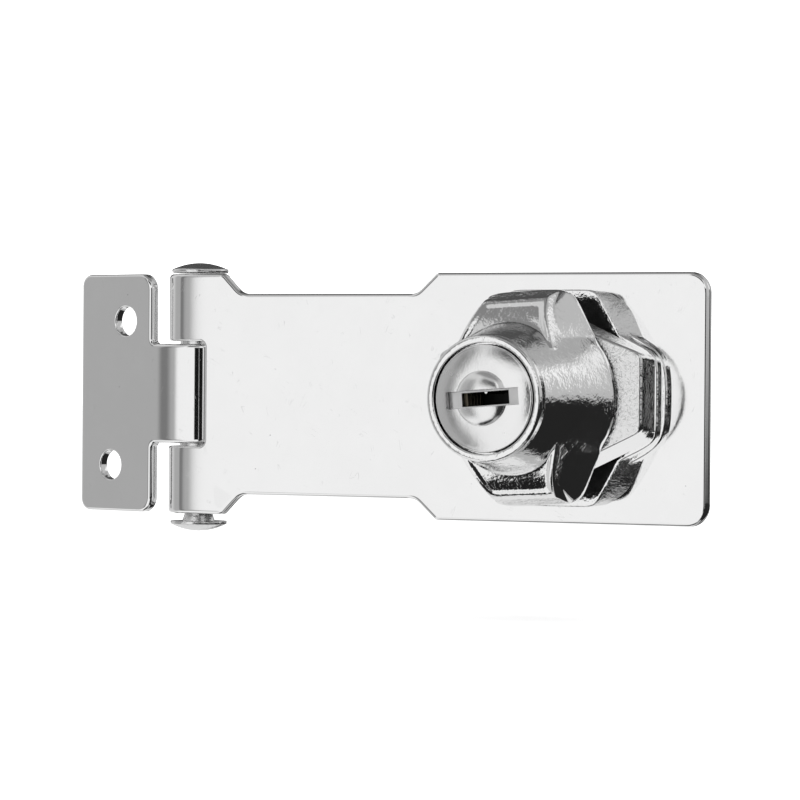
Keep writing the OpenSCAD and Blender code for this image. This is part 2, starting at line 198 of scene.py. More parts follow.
class Nodes:
    """A node tree with short ways to add and join nodes."""

    def __init__(self, tree):
        self.tree = tree
        tree.nodes.clear()

    def add(self, kind, inputs=None, **settings):
        node = self.tree.nodes.new(kind)
        for key, value in settings.items():
            setattr(node, key, value)
        for key, value in (inputs or {}).items():
            if isinstance(value, bpy.types.NodeSocket):
                self.tree.links.new(value, node.inputs[key])
            else:
                node.inputs[key].default_value = value
        return node

    def math(self, operation, a, b=0.0, c=0.0):
        return self.add("ShaderNodeMath", {0: a, 1: b, 2: c}, operation=operation).outputs[0]

    def scaled(self, vector, factors):
        inputs = {0: vector, 1: factors}
        return self.add("ShaderNodeVectorMath", inputs, operation="MULTIPLY").outputs[0]

    def span(self, value, start, end, low=0.0, high=1.0):
        """Maps start..end smoothly onto low..high."""
        inputs = {"Value": value, "From Min": start, "From Max": end, "To Min": low, "To Max": high}
        return self.add("ShaderNodeMapRange", inputs, interpolation_type="SMOOTHSTEP").outputs[0]

    def noise(self, vector, scale, detail=2.0, rough=0.5):
        inputs = {"Vector": vector, "Scale": scale, "Detail": detail, "Roughness": rough}
        return self.add("ShaderNodeTexNoise", inputs).outputs[0]

    def grey_mix(self, share, a, b):
        rest = self.math("SUBTRACT", 1.0, share)
        return self.math("ADD", self.math("MULTIPLY", a, rest), self.math("MULTIPLY", b, share))

    def colour(self, red, green, blue):
        return self.add("ShaderNodeCombineColor", {0: red, 1: green, 2: blue}).outputs[0]


def millimetres(n, stretch=(1, 1, 1)):
    """Object coordinates in millimetres, stretched along the axes."""
    coordinates = n.add("ShaderNodeTexCoord").outputs["Object"]
    return n.scaled(coordinates, Vector(stretch) / MM)


def rippled(n, where, peel, brushed):
    """Height of the surface in millimetres: a ripple for each (size, height), and fine brushing."""
    height = 0.0
    for size, amount in peel:
        wave = n.noise(where, 1.0 / size)
        height = n.math("ADD", height, n.math("MULTIPLY", wave, amount))
    if brushed:
        grain = n.noise(millimetres(n, (0.4, 0.4, 14)), 1.0, 4.0, 0.7)
        height = n.math("ADD", height, n.math("MULTIPLY", grain, brushed))
    return height


def speckled(n, where, level, strength):
    """Small dark dots in the tone, in some patches only."""
    cells = n.add("ShaderNodeTexVoronoi", {"Vector": where, "Scale": 0.45})
    patch = n.span(n.noise(where, 0.31), 0.60, 0.61)
    dot = n.math("MULTIPLY", n.span(cells.outputs["Distance"], 0.03, 0.055, 1.0, 0.0), patch)
    return n.grey_mix(n.math("MULTIPLY", dot, strength), level, 0.25)


def hairline(n, seed, turn, density):
    """Thin straight scratches, here and there: 1 on a line and 0 elsewhere."""
    inputs = {"Vector": millimetres(n), "Location": (seed, seed * 0.7, 0), "Rotation": (0, turn, 0)}
    where = n.add("ShaderNodeMapping", inputs).outputs[0]
    drawn_out = n.scaled(where, (1.3, 0.02, 0.16))
    cells = n.add("ShaderNodeTexVoronoi", {"Vector": drawn_out, "Scale": 1.0},
                  feature="DISTANCE_TO_EDGE")
    line = n.span(cells.outputs[0], 0.0, 0.012, 1.0, 0.0)
    patch = n.span(n.noise(where, 0.35), 1 - density, 1.02 - density)
    return n.math("MULTIPLY", line, patch)


# Where each set of scratches lies, and its slant in radians
HAIRLINES = ((3.1, 0.25), (17.7, -0.5), (41.3, 1.1))


def metal(name, tone, roughness, peel, specks=0.0, hairlines=0.0, brushed=0.0, tint=(1, 1, 1)):
    """Plated or bare metal with uneven gloss, duller edges, specks and scratches.
    peel lists the ripples in the surface as (size, height) in millimetres."""
    made = bpy.data.materials.new(name)
    made.use_nodes = True
    n = Nodes(made.node_tree)
    where = millimetres(n)
    height = rippled(n, where, peel, brushed)
    cloud = n.noise(where, 0.16, 4.0, 0.6)
    gloss = n.span(cloud, 0.3, 0.75, roughness * 0.75, roughness * 1.35)
    pointed = n.add("ShaderNodeNewGeometry").outputs["Pointiness"]
    gloss = n.math("ADD", gloss, n.span(pointed, 0.53, 0.62, 0.0, 0.06))
    level = n.span(cloud, 0.35, 0.7, tone * 0.985, tone)
    if specks:
        level = speckled(n, where, level, specks)
    if hairlines:
        for seed, turn in HAIRLINES:
            line = hairline(n, seed, turn, hairlines)
            level = n.grey_mix(n.math("MULTIPLY", line, 0.22), level, 0.45)
            gloss = n.math("ADD", gloss, n.math("MULTIPLY", line, 0.15))
            height = n.math("SUBTRACT", height, n.math("MULTIPLY", line, 0.002))
    colour = n.colour(*(n.math("MULTIPLY", level, share) for share in tint))
    bump = n.add("ShaderNodeBump", {"Height": height, "Strength": 1.0, "Distance": MM}).outputs[0]
    look = {"Base Color": colour, "Metallic": 1.0, "Roughness": gloss, "Normal": bump}
    surface = n.add("ShaderNodeBsdfPrincipled", look).outputs[0]
    n.add("ShaderNodeOutputMaterial", {"Surface": surface})
    return made


MATERIALS = {
    "polished_plate": metal("polished_plate", 0.97, 0.05, [(1.6, 0.0012), (0.3, 0.0006)],
                            specks=0.8, hairlines=0.32),
    "cast_chrome": metal("cast_chrome", 0.95, 0.07, [(0.42, 0.030), (1.5, 0.07)], specks=0.25),
    "plug_face": metal("plug_face", 0.95, 0.22, [(0.35, 0.010), (1.6, 0.02)], brushed=0.002),
    "steel": metal("steel", 0.68, 0.32, [(0.35, 0.006)], brushed=0.006),
    "brass": metal("brass", 0.30, 0.42, [(0.35, 0.006)], brushed=0.004, tint=(1.0, 0.88, 0.66)),
}
ROUGH_CAST = metal("rough_cast", 0.88, 0.20, [(0.40, 0.14), (1.3, 0.12)], specks=0.3)
# Near-black painted shade for faces that lie in shadow: under the knob, round the plug's side wall and
# down its keyway
PAINTED_SHADE = metal("painted_shade", 0.03, 0.5, [(0.4, 0.02)])
SATIN_BACK = metal("satin_back", 0.88, 0.38, [(0.5, 0.012), (2.5, 0.015)], specks=0.5, hairlines=0.5)
TURNED_PIN = metal("turned_pin", 0.86, 0.13, [(0.7, 0.05), (2.0, 0.16)], brushed=0.02)


# ---- Rolled sheet: the hasp plate and the leaf ----

SHEET_T = 1.8
KNUCKLE_R = 5.2
ROLL_END = math.radians(305)
FRONT_ROUND = 0.7
SLOT_ROUND = 0.3
HOLE_ROUND = 0.3
BACK_ROUND = 0.3
HALF_H = 20.5
SLOT_HALF = 9.0
TAB_HALF = 8.5
OUTLINE_STEP = 0.6


def rounded_path(corners):
    """A closed outline from (x, y, radius) corners, as closely spaced points."""
    points = []
    count = len(corners)
    for i, (x, y, radius) in enumerate(corners):
        here = np.array([x, y], float)
        back = np.array(corners[i - 1][:2], float) - here
        ahead = np.array(corners[(i + 1) % count][:2], float) - here
        back, ahead = back / np.linalg.norm(back), ahead / np.linalg.norm(ahead)
        half = math.acos(np.clip(back @ ahead, -1, 1)) / 2
        reach = radius / math.tan(half)
        centre = here + (back + ahead) / np.linalg.norm(back + ahead) * radius / math.sin(half)
        start, end = here + back * reach - centre, here + ahead * reach - centre
        sweep = math.pi - 2 * half
        side = math.copysign(1, start[0] * end[1] - start[1] * end[0])
        for t in np.linspace(0, side * sweep, max(4, int(sweep / 0.15)) + 1):
            c, s = math.cos(t), math.sin(t)
            points.append(centre + (c * start[0] - s * start[1], s * start[0] + c * start[1]))
    filled = []
    for i, p in enumerate(points):
        q = points[(i + 1) % len(points)]
        parts = max(1, math.ceil(np.linalg.norm(q - p) / OUTLINE_STEP))
        filled += [p + (q - p) * k / parts for k in range(parts)]
    return np.array(filled)


def inset(loop, distance):
    """A closed loop moved to its left by a distance."""
    ahead = np.roll(loop, -1, 0) - loop
    ahead /= np.linalg.norm(ahead, axis=1)[:, None]
    left = np.stack([-ahead[:, 1], ahead[:, 0]], 1)
    both = left + np.roll(left, 1, 0)
    both /= (both * both).sum(1)[:, None] / 2
    return loop + both * distance


def inside(points, loop):
    """Which points lie within a closed loop."""
    x, y = points[:, 0:1], points[:, 1:2]
    a, b = loop, np.roll(loop, -1, 0)
    crosses = (a[:, 1] > y) != (b[:, 1] > y)
    with np.errstate(divide="ignore", invalid="ignore"):
        at = a[:, 0] + (y - a[:, 1]) * (b[:, 0] - a[:, 0]) / (b[:, 1] - a[:, 1])
    return (crosses & (x < at)).sum(1) % 2 == 1


def on_sheet(points, rings, margin):
    """Which points are on the sheet and clear of its edges. The first ring is its outline, and the
    others are its holes."""
    found = inside(points, inset(rings[0], margin))
    for hole in rings[1:]:
        found &= ~inside(points, inset(hole, margin))
    return found


def edge_levels(front_r):
    """A sheet's edge from front to back, as steps of (distance in from the outline, depth). The
    first step is still on the flat front, a little way in from where the rounding starts."""
    levels = [(front_r * 1.15, 0.0)]
    levels += [(front_r * (1 - math.sin(a)), front_r * (1 - math.cos(a))) for a in quarter(6)]
    for a in quarter(3):
        levels.append((BACK_ROUND * (1 - math.cos(a)), SHEET_T - BACK_ROUND * (1 - math.sin(a))))
    return levels


def flat_cap(rings, grid):
    """The grid's points that are on the sheet, and triangles over the rings' points and those."""
    edges, first = [], 0
    for ring in rings:
        size = len(ring)
        edges += [(first + i, first + (i + 1) % size) for i in range(size)]
        first += size
    spare = grid[on_sheet(grid, rings, 0.3)]
    points = [Vector(p) for p in np.concatenate([*rings, spare])]
    out, _, triangles, source, _, _ = delaunay_2d_cdt(points, edges, [], 1, 1e-6)
    centres = np.array([np.mean([out[i] for i in t], 0) for t in triangles])
    wanted = on_sheet(centres, rings, 0)
    return spare, [[source[i][0] for i in t] for t, keep in zip(triangles, wanted) if keep]


def sheet(loops, bend, grid):
    """Points and faces of a sheet with soft edges. Each loop is its points and the radius of its
    front edge, which may vary along it. The first loop is the outline, and the others are holes,
    with the material on each loop's left. bend turns (s, v, depth) into (u, v, w)."""
    flat, faces, total = [], [], 0
    fronts, backs = [], []
    for loop, front_r in loops:
        size = len(loop)
        for k, (distance, depth) in enumerate(edge_levels(front_r)):
            ring = inset(loop, np.broadcast_to(distance, size)[:, None])
            flat.append(np.column_stack([ring, np.broadcast_to(depth, size)]))
            if k == 0:
                fronts.append((total, ring))
            else:
                a, b = total - size, total
                faces += [(a + i, b + i, b + (i + 1) % size, a + (i + 1) % size) for i in range(size)]
            total += size
        backs.append((total - size, ring))
    for depth, ends in ((0.0, fronts), (SHEET_T, backs)):
        spare, triangles = flat_cap([ring for _, ring in ends], grid)
        ids = [start + i for start, ring in ends for i in range(len(ring))]
        ids += range(total, total + len(spare))
        flat.append(np.column_stack([spare, np.full(len(spare), depth)]))
        total += len(spare)
        faces += [tuple(ids[i] for i in t) for t in triangles]
    return bend(np.concatenate(flat)), faces


def bent(tilt, start, end, anchor, mirror):
    """A function that lays a flat sheet along the line whose slope angle at s is tilt(s).
    anchor is where the line's front is at s = 0, in the plane across the hinge."""
    s = np.linspace(start, end, 4000)
    angle = tilt(s)
    step = s[1] - s[0]
    x, w = np.cumsum(np.cos(angle)) * step, np.cumsum(np.sin(angle)) * step
    x += anchor[0] - np.interp(0, s, x)
    w += anchor[1] - np.interp(0, s, w)

    def bend(points):
        at, v, depth = points.T
        a = tilt(at)
        along = np.interp(at, s, x) + depth * np.sin(a)
        out = np.interp(at, s, w) - depth * np.cos(a)
        return np.column_stack([HINGE_U + mirror * along, v, out])

    return bend


def roll_grid(start, end, half):
    """Inner points for the stretch of a sheet that is bent."""
    return np.array([(s, v) for s in np.arange(start, end, 0.4) for v in np.arange(-half, half, 1.7)])


def on_flat_back(face):
    """Whether a face of a sheet is at its back, past the roll."""
    past_roll = abs(face.center.x / MM - HINGE_U) > KNUCKLE_R + 1
    return past_roll and face.normal.y > 0.9


def hasp_plate():
    """The long plate: two knuckles rolled from one end, a narrow neck, and a wide end for the lock."""
    lean, relax = math.radians(5.5), 1.6
    settle = math.radians(0.18)

    def tilt(s):
        """The roll, then a lean that fades out, with a very slight dip along the neck."""
        flat = lean * np.exp(-np.maximum(s, 0) / relax) - settle * (ease(s, 6, 12) - ease(s, 44, 50))
        return np.where(s < 0, lean - s / KNUCKLE_R, flat)

    roll = -(ROLL_END - lean) * KNUCKLE_R
    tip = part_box("hasp_plate")[1].x / MM - HINGE_U
    neck, block, rise, slot = 17.05, 7.5, 3.45, 4.15
    wide, slant = tip - 52.6, 3.8
    upper = [
        (tip, HALF_H, 3.4), (wide + slant, HALF_H, 0.9), (wide, neck, 2.5), (block + rise, neck, 3),
        (block, HALF_H, 1.2), (roll, HALF_H, 0.9), (roll, SLOT_HALF, 0.9), (slot, SLOT_HALF, 1.1)
    ]
    lower = [(x, -y, radius) for x, y, radius in reversed(upper)]
    # The sheet's line starts this far to the left of the hinge, because of the lean
    left = KNUCKLE_R * math.sin(lean)
    loop = rounded_path([(x + left, y, radius) for x, y, radius in upper + lower])
    beside = 1 - ease(np.abs(loop[:, 1]), SLOT_HALF - 0.2, SLOT_HALF + 0.6)
    in_slot = beside * (1 - ease(loop[:, 0], 7, 9))
    edge_r = FRONT_ROUND - (FRONT_ROUND - SLOT_ROUND) * in_slot
    anchor = (-left, KNUCKLE_R * (math.cos(lean) - 1))
    bend = bent(tilt, roll - 1, tip + 2, anchor, 1)
    verts, faces = sheet([(loop, edge_r)], bend, roll_grid(roll, 7, HALF_H))
    piece = make_mesh("rolled_hasp_plate", verts, faces)
    finish_piece(piece, "hasp", "polished_plate", MATERIALS["polished_plate"], "hasp_plate")
    add_finish(piece, SATIN_BACK, on_flat_back)


def hinge_leaf():
    """The short leaf: one knuckle rolled from its middle tab, a shallow fold, and two screw holes."""
    fold = math.radians(15)
    fold_start, fold_end = 1.2, 7.4

    def tilt(s):
        flat = -fold * np.clip((s - fold_start) / (fold_end - fold_start), 0, 1)
        return np.where(s < 0, -s / KNUCKLE_R, flat)

    roll = -ROLL_END * KNUCKLE_R
    far, notch, hole_r = 24.7, 7.1, 2.55
    upper = [(far, HALF_H, 2), (notch, HALF_H, 2.8), (notch, TAB_HALF, 0.9), (roll, TAB_HALF, 0.9)]
    lower = [(x, -y, radius) for x, y, radius in reversed(upper)]
    loops = [(rounded_path(upper + lower), FRONT_ROUND)]
    turn = -full_turn(64)
    for s, v in ((13.5, 12.4), (17.1, -12.5)):
        hole = np.column_stack([s + hole_r * np.cos(turn), v + hole_r * np.sin(turn)])
        loops.append((hole, HOLE_ROUND))
    bend = bent(tilt, roll - 1, far + 2, (0, 0), -1)
    verts, faces = sheet(loops, bend, roll_grid(roll, 9, HALF_H))
    piece = make_mesh("rolled_leaf", verts, faces)
    finish_piece(piece, "leaf", "polished_plate", MATERIALS["polished_plate"], "hinge_leaf")
    add_finish(piece, SATIN_BACK, on_flat_back)


def pin_cap():
    """The upper head of the hinge pin: a thin, slightly domed disc that sits close on the knuckle."""
    radius = (PIN_HIGH.x - PIN_LOW.x) / 2 / MM
    seat, rim, crown, soft = HALF_H + 0.2, 0.75, 1.0, 0.3
    lip = radius - soft
    profile = [(ON_AXIS, seat)]
    profile += [(lip + soft * math.sin(a), seat + soft * (1 - math.cos(a))) for a in quarter(4)]
    profile += [(lip + soft * math.cos(a), seat + rim - soft * (1 - math.sin(a))) for a in quarter(4)]
    for t in np.linspace(0, 1, 16)[1:]:
        profile.append((max(lip * (1 - t), ON_AXIS), seat + rim + crown * t * (2 - t)))
    turned, faces = lathe(profile, 128, False)
    verts = np.column_stack([HINGE_U + turned[:, 0], turned[:, 2], HINGE_W + turned[:, 1]])
    finish_piece(make_mesh("pin_cap", verts, faces), "leaf", SLOTS["hinge_pin_cap"], TURNED_PIN,
                 "hinge_pin_cap")


# ---- Lock housing ----

LOBE_H = 3.3
LOBE_HALF = 17.6
HOUSING_TOP = 8.2
SIDE_SLOPE = 0.46
# The stepped body, from the plate outwards: its heights, its outlines at the foot and at the top of
# each step as hexagon() takes them, how sharp their corners are, and the radius of its upper edge
TIERS = [
    (0.0, 1.8, (19.8, 16.7, 16.7), (19.7, 16.6, 16.6), 10, 0.4),
    (1.8, LOBE_H, (18.8, 16.0, 15.7), (18.75, 15.9, 15.6), 18, 0.35),
    (LOBE_H, HOUSING_TOP, (18.3, 15.3, 14.9), (18.1, 13.8, 13.6, 0.36), 36, 0.5),
]
# (radius, height) of the neck under the knob, then down the bores behind it
NECK_AND_BORES = ((11.2, HOUSING_TOP), (11, 8.3), (11, 11.7), (10.7, 12), (4.85, 12), (4.85, 9),
                  (9.2, 9), (9.2, 3.2), (12.2, 3.2), (12.2, 0))


def outline_radius(turn, planes, sharpness=50):
    """Polar radius of the shape within planes of (normal angle in degrees, distance). Its corners
    are soft, and the less so the higher the sharpness."""
    total = np.zeros_like(turn)
    for angle, distance in planes:
        total += np.maximum(0, np.cos(turn - math.radians(angle)) / distance) ** sharpness
    return total ** (-1 / sharpness)


def hexagon(half, top, bottom, fall=SIDE_SLOPE):
    """Planes of the six-sided outline, from its half width and the heights of its two peaks.
    fall is the slope of its upper sides."""
    planes = [(0, half), (180, half)]
    for side, peak, slope in ((1, top, fall), (-1, bottom, SIDE_SLOPE)):
        angle, distance = math.degrees(math.atan2(1, slope)), peak / math.hypot(1, slope)
        planes += [(side * angle, distance), (side * (180 - angle), distance)]
    return planes


def lobe_planes(lean, reach):
    """Planes of the lobes' outline: flat above and below, with sides that lean in."""
    sides = [(middle + side * lean, reach) for middle in (0, 180) for side in (-1, 1)]
    return sides + [(-90, LOBE_HALF), (90, LOBE_HALF)]


def housing_rings(turn):
    """Rings of the housing's skin, from the plate up to its top, down its bores and back."""
    lobe_foot = smooth_min(outline_radius(turn, lobe_planes(23, 17.4), 24), 19.3, 0.6)
    lobe_top = outline_radius(turn, lobe_planes(29.7, 15.5), 30)
    lobe_edge = 0.4
    rings = []

    def ring(shape, height, back=0.0):
        radius = shape - back
        if height <= LOBE_H:
            lobes = lobe_foot + (lobe_top - lobe_foot) * height / LOBE_H
            rounding = back if height > LOBE_H - lobe_edge else 0
            radius = smooth_max(radius, lobes - rounding, 0.2)
        rings.append(polar_ring(turn, radius, height))

    for low, high, foot, head, sharpness, round_r in TIERS:
        below, above = (outline_radius(turn, hexagon(*size), sharpness) for size in (foot, head))
        # The last step starts just above the lobes, so that it leaves them out
        start = low + (0.01 if low == LOBE_H else 0)
        for t in (0.0, 0.33, 0.67, 1.0):
            ring(below + (above - below) * t, start + (high - round_r - start) * t)
        for a in quarter(6)[1:]:
            ring(above, high - round_r * (1 - math.sin(a)), round_r * (1 - math.cos(a)))
    return rings + [polar_ring(turn, radius, height) for radius, height in NECK_AND_BORES]


def rough_as_cast(face):
    """Whether a face of the housing is on a lobe, or on the flat shelf round the neck."""
    lobe = height_of(face) < LOBE_H - 0.1 and abs(face.center.z) > 0.72 * abs(face.center.x)
    across = math.hypot(face.center.x, face.center.z) / MM
    shelf = abs(height_of(face) - HOUSING_TOP) < 0.02 and across > 11.5
    return lobe or shelf


def lock_housing():
    """The six-sided casting, with a hole for the bolt at each of the knob's two positions."""
    verts, faces = skin(housing_rings(full_turn(900)), True)
    piece = make_mesh("cast_housing", verts, faces, 50)
    bolt_out, bolt_r, bolt_floor, past_top = 6.6, 1.6, 9.6, 13.0
    for u, v in ((bolt_out, 0), (0, -bolt_out)):
        pin, pin_faces = lathe([(bolt_r, bolt_floor), (bolt_r, past_top)], 32, False)
        cut(piece, make_mesh("cutter", pin + np.array([u, v, 0]), pin_faces), 50)
    finish_piece(piece, "hasp", "cast_chrome", MATERIALS["cast_chrome"], "lock_housing")
    add_finish(piece, ROUGH_CAST, rough_as_cast)
    # Left out of reflections, so that the plate looks plain beside the lock when seen from the front.
    # Seen from the side, the plate mirrors what is behind the housing instead.
    piece.visible_glossy = False


# ---- Knob ----

KNOB_R = 14
BARREL_R = 10.05
BARREL_TOP = 26.5
SKIRT_TOP = 10.2
KNOB_FOOT = 8.9


def knob_height(u, v):
    """Height of the knob's outer surface: a cone, and on it two wings that carry a dished bar each."""
    au, av = np.abs(u), np.abs(v)
    rise = (BARREL_TOP - SKIRT_TOP) / (KNOB_R - BARREL_R)
    cone = np.minimum(SKIRT_TOP + (KNOB_R - np.hypot(u, v)) * rise, BARREL_TOP)
    # The bar's half width and the height of its rim, which both get less towards its end
    bar_start, bar_end = 7.5, 15.9
    along = av - bar_start
    half = 8.9 - 0.43 * along + 0.005 * along ** 2
    rim = 20.7 - 0.31 * along - 0.005 * np.abs(along) ** 3 * np.sign(along) - 3 * np.maximum(0, -along)
    # Its face, dished inside the rim, then its steep sides and the bevel at its end
    inward = smooth_min(half - au, bar_end - av, 0.4)
    dish = 0.55 * ease(inward, 0.35, 1.5)
    wall = rim - 8 * (au - half)
    bevel = 15.4 - 4.3 * (av - bar_end)
    bar = smooth_min(smooth_min(rim - dish, wall, 0.3), bevel, 0.3)
    # The flank beside it, which falls away from the bar down to the skirt
    out = (au - 11) * 0.910 + (av - 8.9) * 0.415
    steep = 3.6 - 0.03 * np.maximum(0, av - 8.5) ** 2
    flank = SKIRT_TOP - steep * out - 2.2 * smooth_max(9 - av, 0, 1.5)
    corner = 13.6 + 0.2 * (au - 6.4) - 1.6 * (av - 15.1)
    flank = smooth_min(flank, np.minimum(rim - 1.6, np.minimum(bevel, corner)), 0.3)
    return smooth_max(smooth_max(bar, flank, 0.25), cone, 0.8)


def knob_outline(turn):
    """Radius of the knob's foot: round at its sides, and straight-sided round its wings."""
    sides = [(24.5, 13.7), (57, 17.8), (90, 17.2), (123, 17.8), (155.5, 13.7)]
    planes = sides + [(-angle, distance) for angle, distance in sides]
    wings = outline_radius(turn, planes, 40)
    start, end = math.sin(math.radians(27)), math.sin(math.radians(42))
    return KNOB_R + (wings - KNOB_R) * ease(np.abs(np.sin(turn)), start, end)


def knob_rings(turn):
    """Rings of the knob's skin, from the barrel's rim out over the wings, under and up the bore."""
    outer = knob_outline(turn)
    rings = []
    for t in np.linspace(0, 1, 101):
        radius = BARREL_R + (outer - BARREL_R) * t
        height = knob_height(radius * np.cos(turn), radius * np.sin(turn))
        rings.append(polar_ring(turn, radius, height))
    edge_h = rings[-1][:, 2]
    soft = 0.3
    bulge = soft * 0.3
    for t in (0.25, 0.5, 0.75, 1.0):
        rings.append(polar_ring(turn, outer + bulge * math.sin(t * math.pi / 2), edge_h - soft * t))
    rings.append(polar_ring(turn, outer + bulge, KNOB_FOOT + soft))
    for a in quarter(4)[1:]:
        radius = outer + bulge - soft * (1 - math.cos(a))
        rings.append(polar_ring(turn, radius, KNOB_FOOT + soft * (1 - math.sin(a))))
    bore = ((11.15, KNOB_FOOT), (11.15, 12.3), (9.2, 12.3), (9.2, 20.5), (6.25, 20.5),
            (6.25, BARREL_TOP))
    return rings + [polar_ring(turn, radius, height) for radius, height in bore]


# Faces on the knob's underside, which get painted shade
def under_knob(face):
    return height_of(face) < KNOB_FOOT + 0.05 and face.normal.y > 0.7


def knob():
    """The turn knob, set a little off upright, with painted shade on its underside."""
    verts, faces = skin(knob_rings(full_turn(840)), True)
    tilt = math.radians(3)
    c, s = math.cos(tilt), math.sin(tilt)
    verts = verts @ np.array([[c, s, 0], [-s, c, 0], [0, 0, 1]])
    piece = make_mesh("cast_knob", verts, faces, 50)
    finish_piece(piece, "knob", "cast_chrome", MATERIALS["cast_chrome"], "knob_handle")
    # Painted shade on the knob's underside
    add_finish(piece, PAINTED_SHADE, under_knob)


def bezel():
    """The bright ring round the plug."""
    bore, front, big, small = 8.8, 28.4, 0.6, 0.3
    profile = [(bore, BARREL_TOP), (BARREL_R - 0.12, BARREL_TOP), (BARREL_R, BARREL_TOP + 0.15)]
    for a in quarter(8):
        profile.append((BARREL_R - big * (1 - math.cos(a)), front - big * (1 - math.sin(a))))
    for a in quarter(5):
        profile.append((bore + small * (1 - math.sin(a)), front - small * (1 - math.cos(a))))
    verts, faces = lathe(profile, 256, True)
    finish_piece(make_mesh("turned_bezel", verts, faces, 50), "knob", "cast_chrome",
                 MATERIALS["cast_chrome"], "front_bezel")


# ---- Key plug ----

PLUG_FACE_R = 8.52
GROOVE_FLOOR = 27.2


def box_cutter(length, width, low, high, tilt, notch=0.0):
    """A straight-sided cutter on the lock axis. It can leave a small ridge in its upper side."""
    a, b = length / 2, width / 2
    outline = [(-a, -b), (a, -b), (a, b)]
    if notch:
        outline += [(notch, b), (0, b - notch), (-notch, b)]
    outline.append((-a, b))
    c, s = math.cos(tilt), math.sin(tilt)
    rings = [np.array([[x * c - y * s, x * s + y * c, h] for x, y in outline]) for h in (low, high)]
    verts, faces = skin(rings, False)
    return make_mesh("cutter", verts, faces)


def plug_profile():
    """Half outline of the plug: a stepped body, a crowned face with a soft edge, and a dome on it."""
    rim, rise, edge_r = 28.2, 0.75, 0.3
    dome_r, dome_top = 4.4, 30.8
    body_r, foot, seat = 6.2, 19.6, 26.6
    lip, crown = PLUG_FACE_R - edge_r, rim + rise
    profile = [(ON_AXIS, foot), (3.6, foot), (3.6, 20.5), (body_r, 20.5), (body_r, seat),
               (PLUG_FACE_R, seat)]
    for a in quarter(4):
        profile.append((PLUG_FACE_R - edge_r * (1 - math.cos(a)), rim - edge_r * (1 - math.sin(a))))
    for t in np.linspace(0, 1, 24)[1:]:
        profile.append((lip + (dome_r - lip) * t, rim + rise * t * (2 - t)))
    for a in quarter(24)[1:-1]:
        profile.append((dome_r * math.cos(a), crown + (dome_top - crown) * math.sin(a)))
    return profile + [(ON_AXIS, dome_top)]


def shaded_in_plug(face):
    """Whether a face of the plug is on its side wall or down in its keyway. These faces get painted
    shade.
    """
    centre = face.center / MM
    side_wall = math.hypot(centre.x, centre.z) > PLUG_FACE_R - 0.1 and abs(face.normal.y) < 0.2
    return side_wall or height_of(face) < GROOVE_FLOOR - 0.05


def key_plug():
    """The plug, with a shallow groove across its face and the keyway down the groove's middle."""
    verts, faces = lathe(plug_profile(), 192, False)
    plug = make_mesh("turned_plug", verts, faces, 30)
    tilt = math.radians(4.5)
    past_face, keyway_floor, ridge = 31.8, 20.9, 0.35
    grooves = ((12.7, 2.75, GROOVE_FLOOR, 0), (8.5, 2.1, keyway_floor, ridge))
    for length, width, bottom, notch in grooves:
        cut(plug, box_cutter(length, width, bottom, past_face, tilt, notch), 30)
    finish_piece(plug, "plug", "plug_face", MATERIALS["plug_face"], "key_plug")
    # Painted shade on the plug's side wall and down its keyway
    add_finish(plug, PAINTED_SHADE, shaded_in_plug)


# ---- Spring of the locking bolt ----

def bolt_coil():
    """The small coil under the bolt's head. The real one shortens as the bolt is pushed back; this
    mesh keeps one length.
    """
    low, high = (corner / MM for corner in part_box("bolt_spring"))
    wire, turns, steps = 0.15, 4, 200
    reach = (high.x - low.x) / 2 - wire
    centre = np.array([(low.x + high.x) / 2, (low.z + high.z) / 2, 0])
    back, front = -high.y - PLATE_FRONT + wire, -low.y - PLATE_FRONT - wire
    section = full_turn(10)
    rings = []
    for t in np.linspace(0, 1, steps + 1):
        turn = np.full(len(section), 2 * math.pi * turns * t)
        height = back + (front - back) * t + wire * np.sin(section)
        rings.append(centre + polar_ring(turn, reach + wire * np.cos(section), height))
    verts, faces = skin(rings, False)
    coil = make_mesh("bolt_coil", verts, faces)
    finish_piece(coil, "knob", "steel", MATERIALS["steel"], "bolt_spring")
    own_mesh(coil)


# ---- CAD nodes that stay as they are ----

def dress_cad_nodes():
    """Gives each CAD node that is still shown its slot's material and slightly broken edges."""
    for name, node in frame["nodes"].items():
        node.data.materials.clear()
        look = TURNED_PIN if name.startswith("hinge_pin") else MATERIALS[SLOTS[name]]
        node.data.materials.append(look)
        if node.hide_render or name.endswith("_spring"):
            continue
        weld = node.modifiers.new("weld", "WELD")
        weld.merge_threshold = 0.002 * MM
        bevel = node.modifiers.new("broken_edges", "BEVEL")
        bevel.width, bevel.segments = 0.12 * MM, 2
        bevel.limit_method, bevel.angle_limit = "ANGLE", math.radians(40)
        bevel.harden_normals = True
        node.modifiers.new("even_shading", "WEIGHTED_NORMAL").keep_sharp = True


# ---- Studio ----

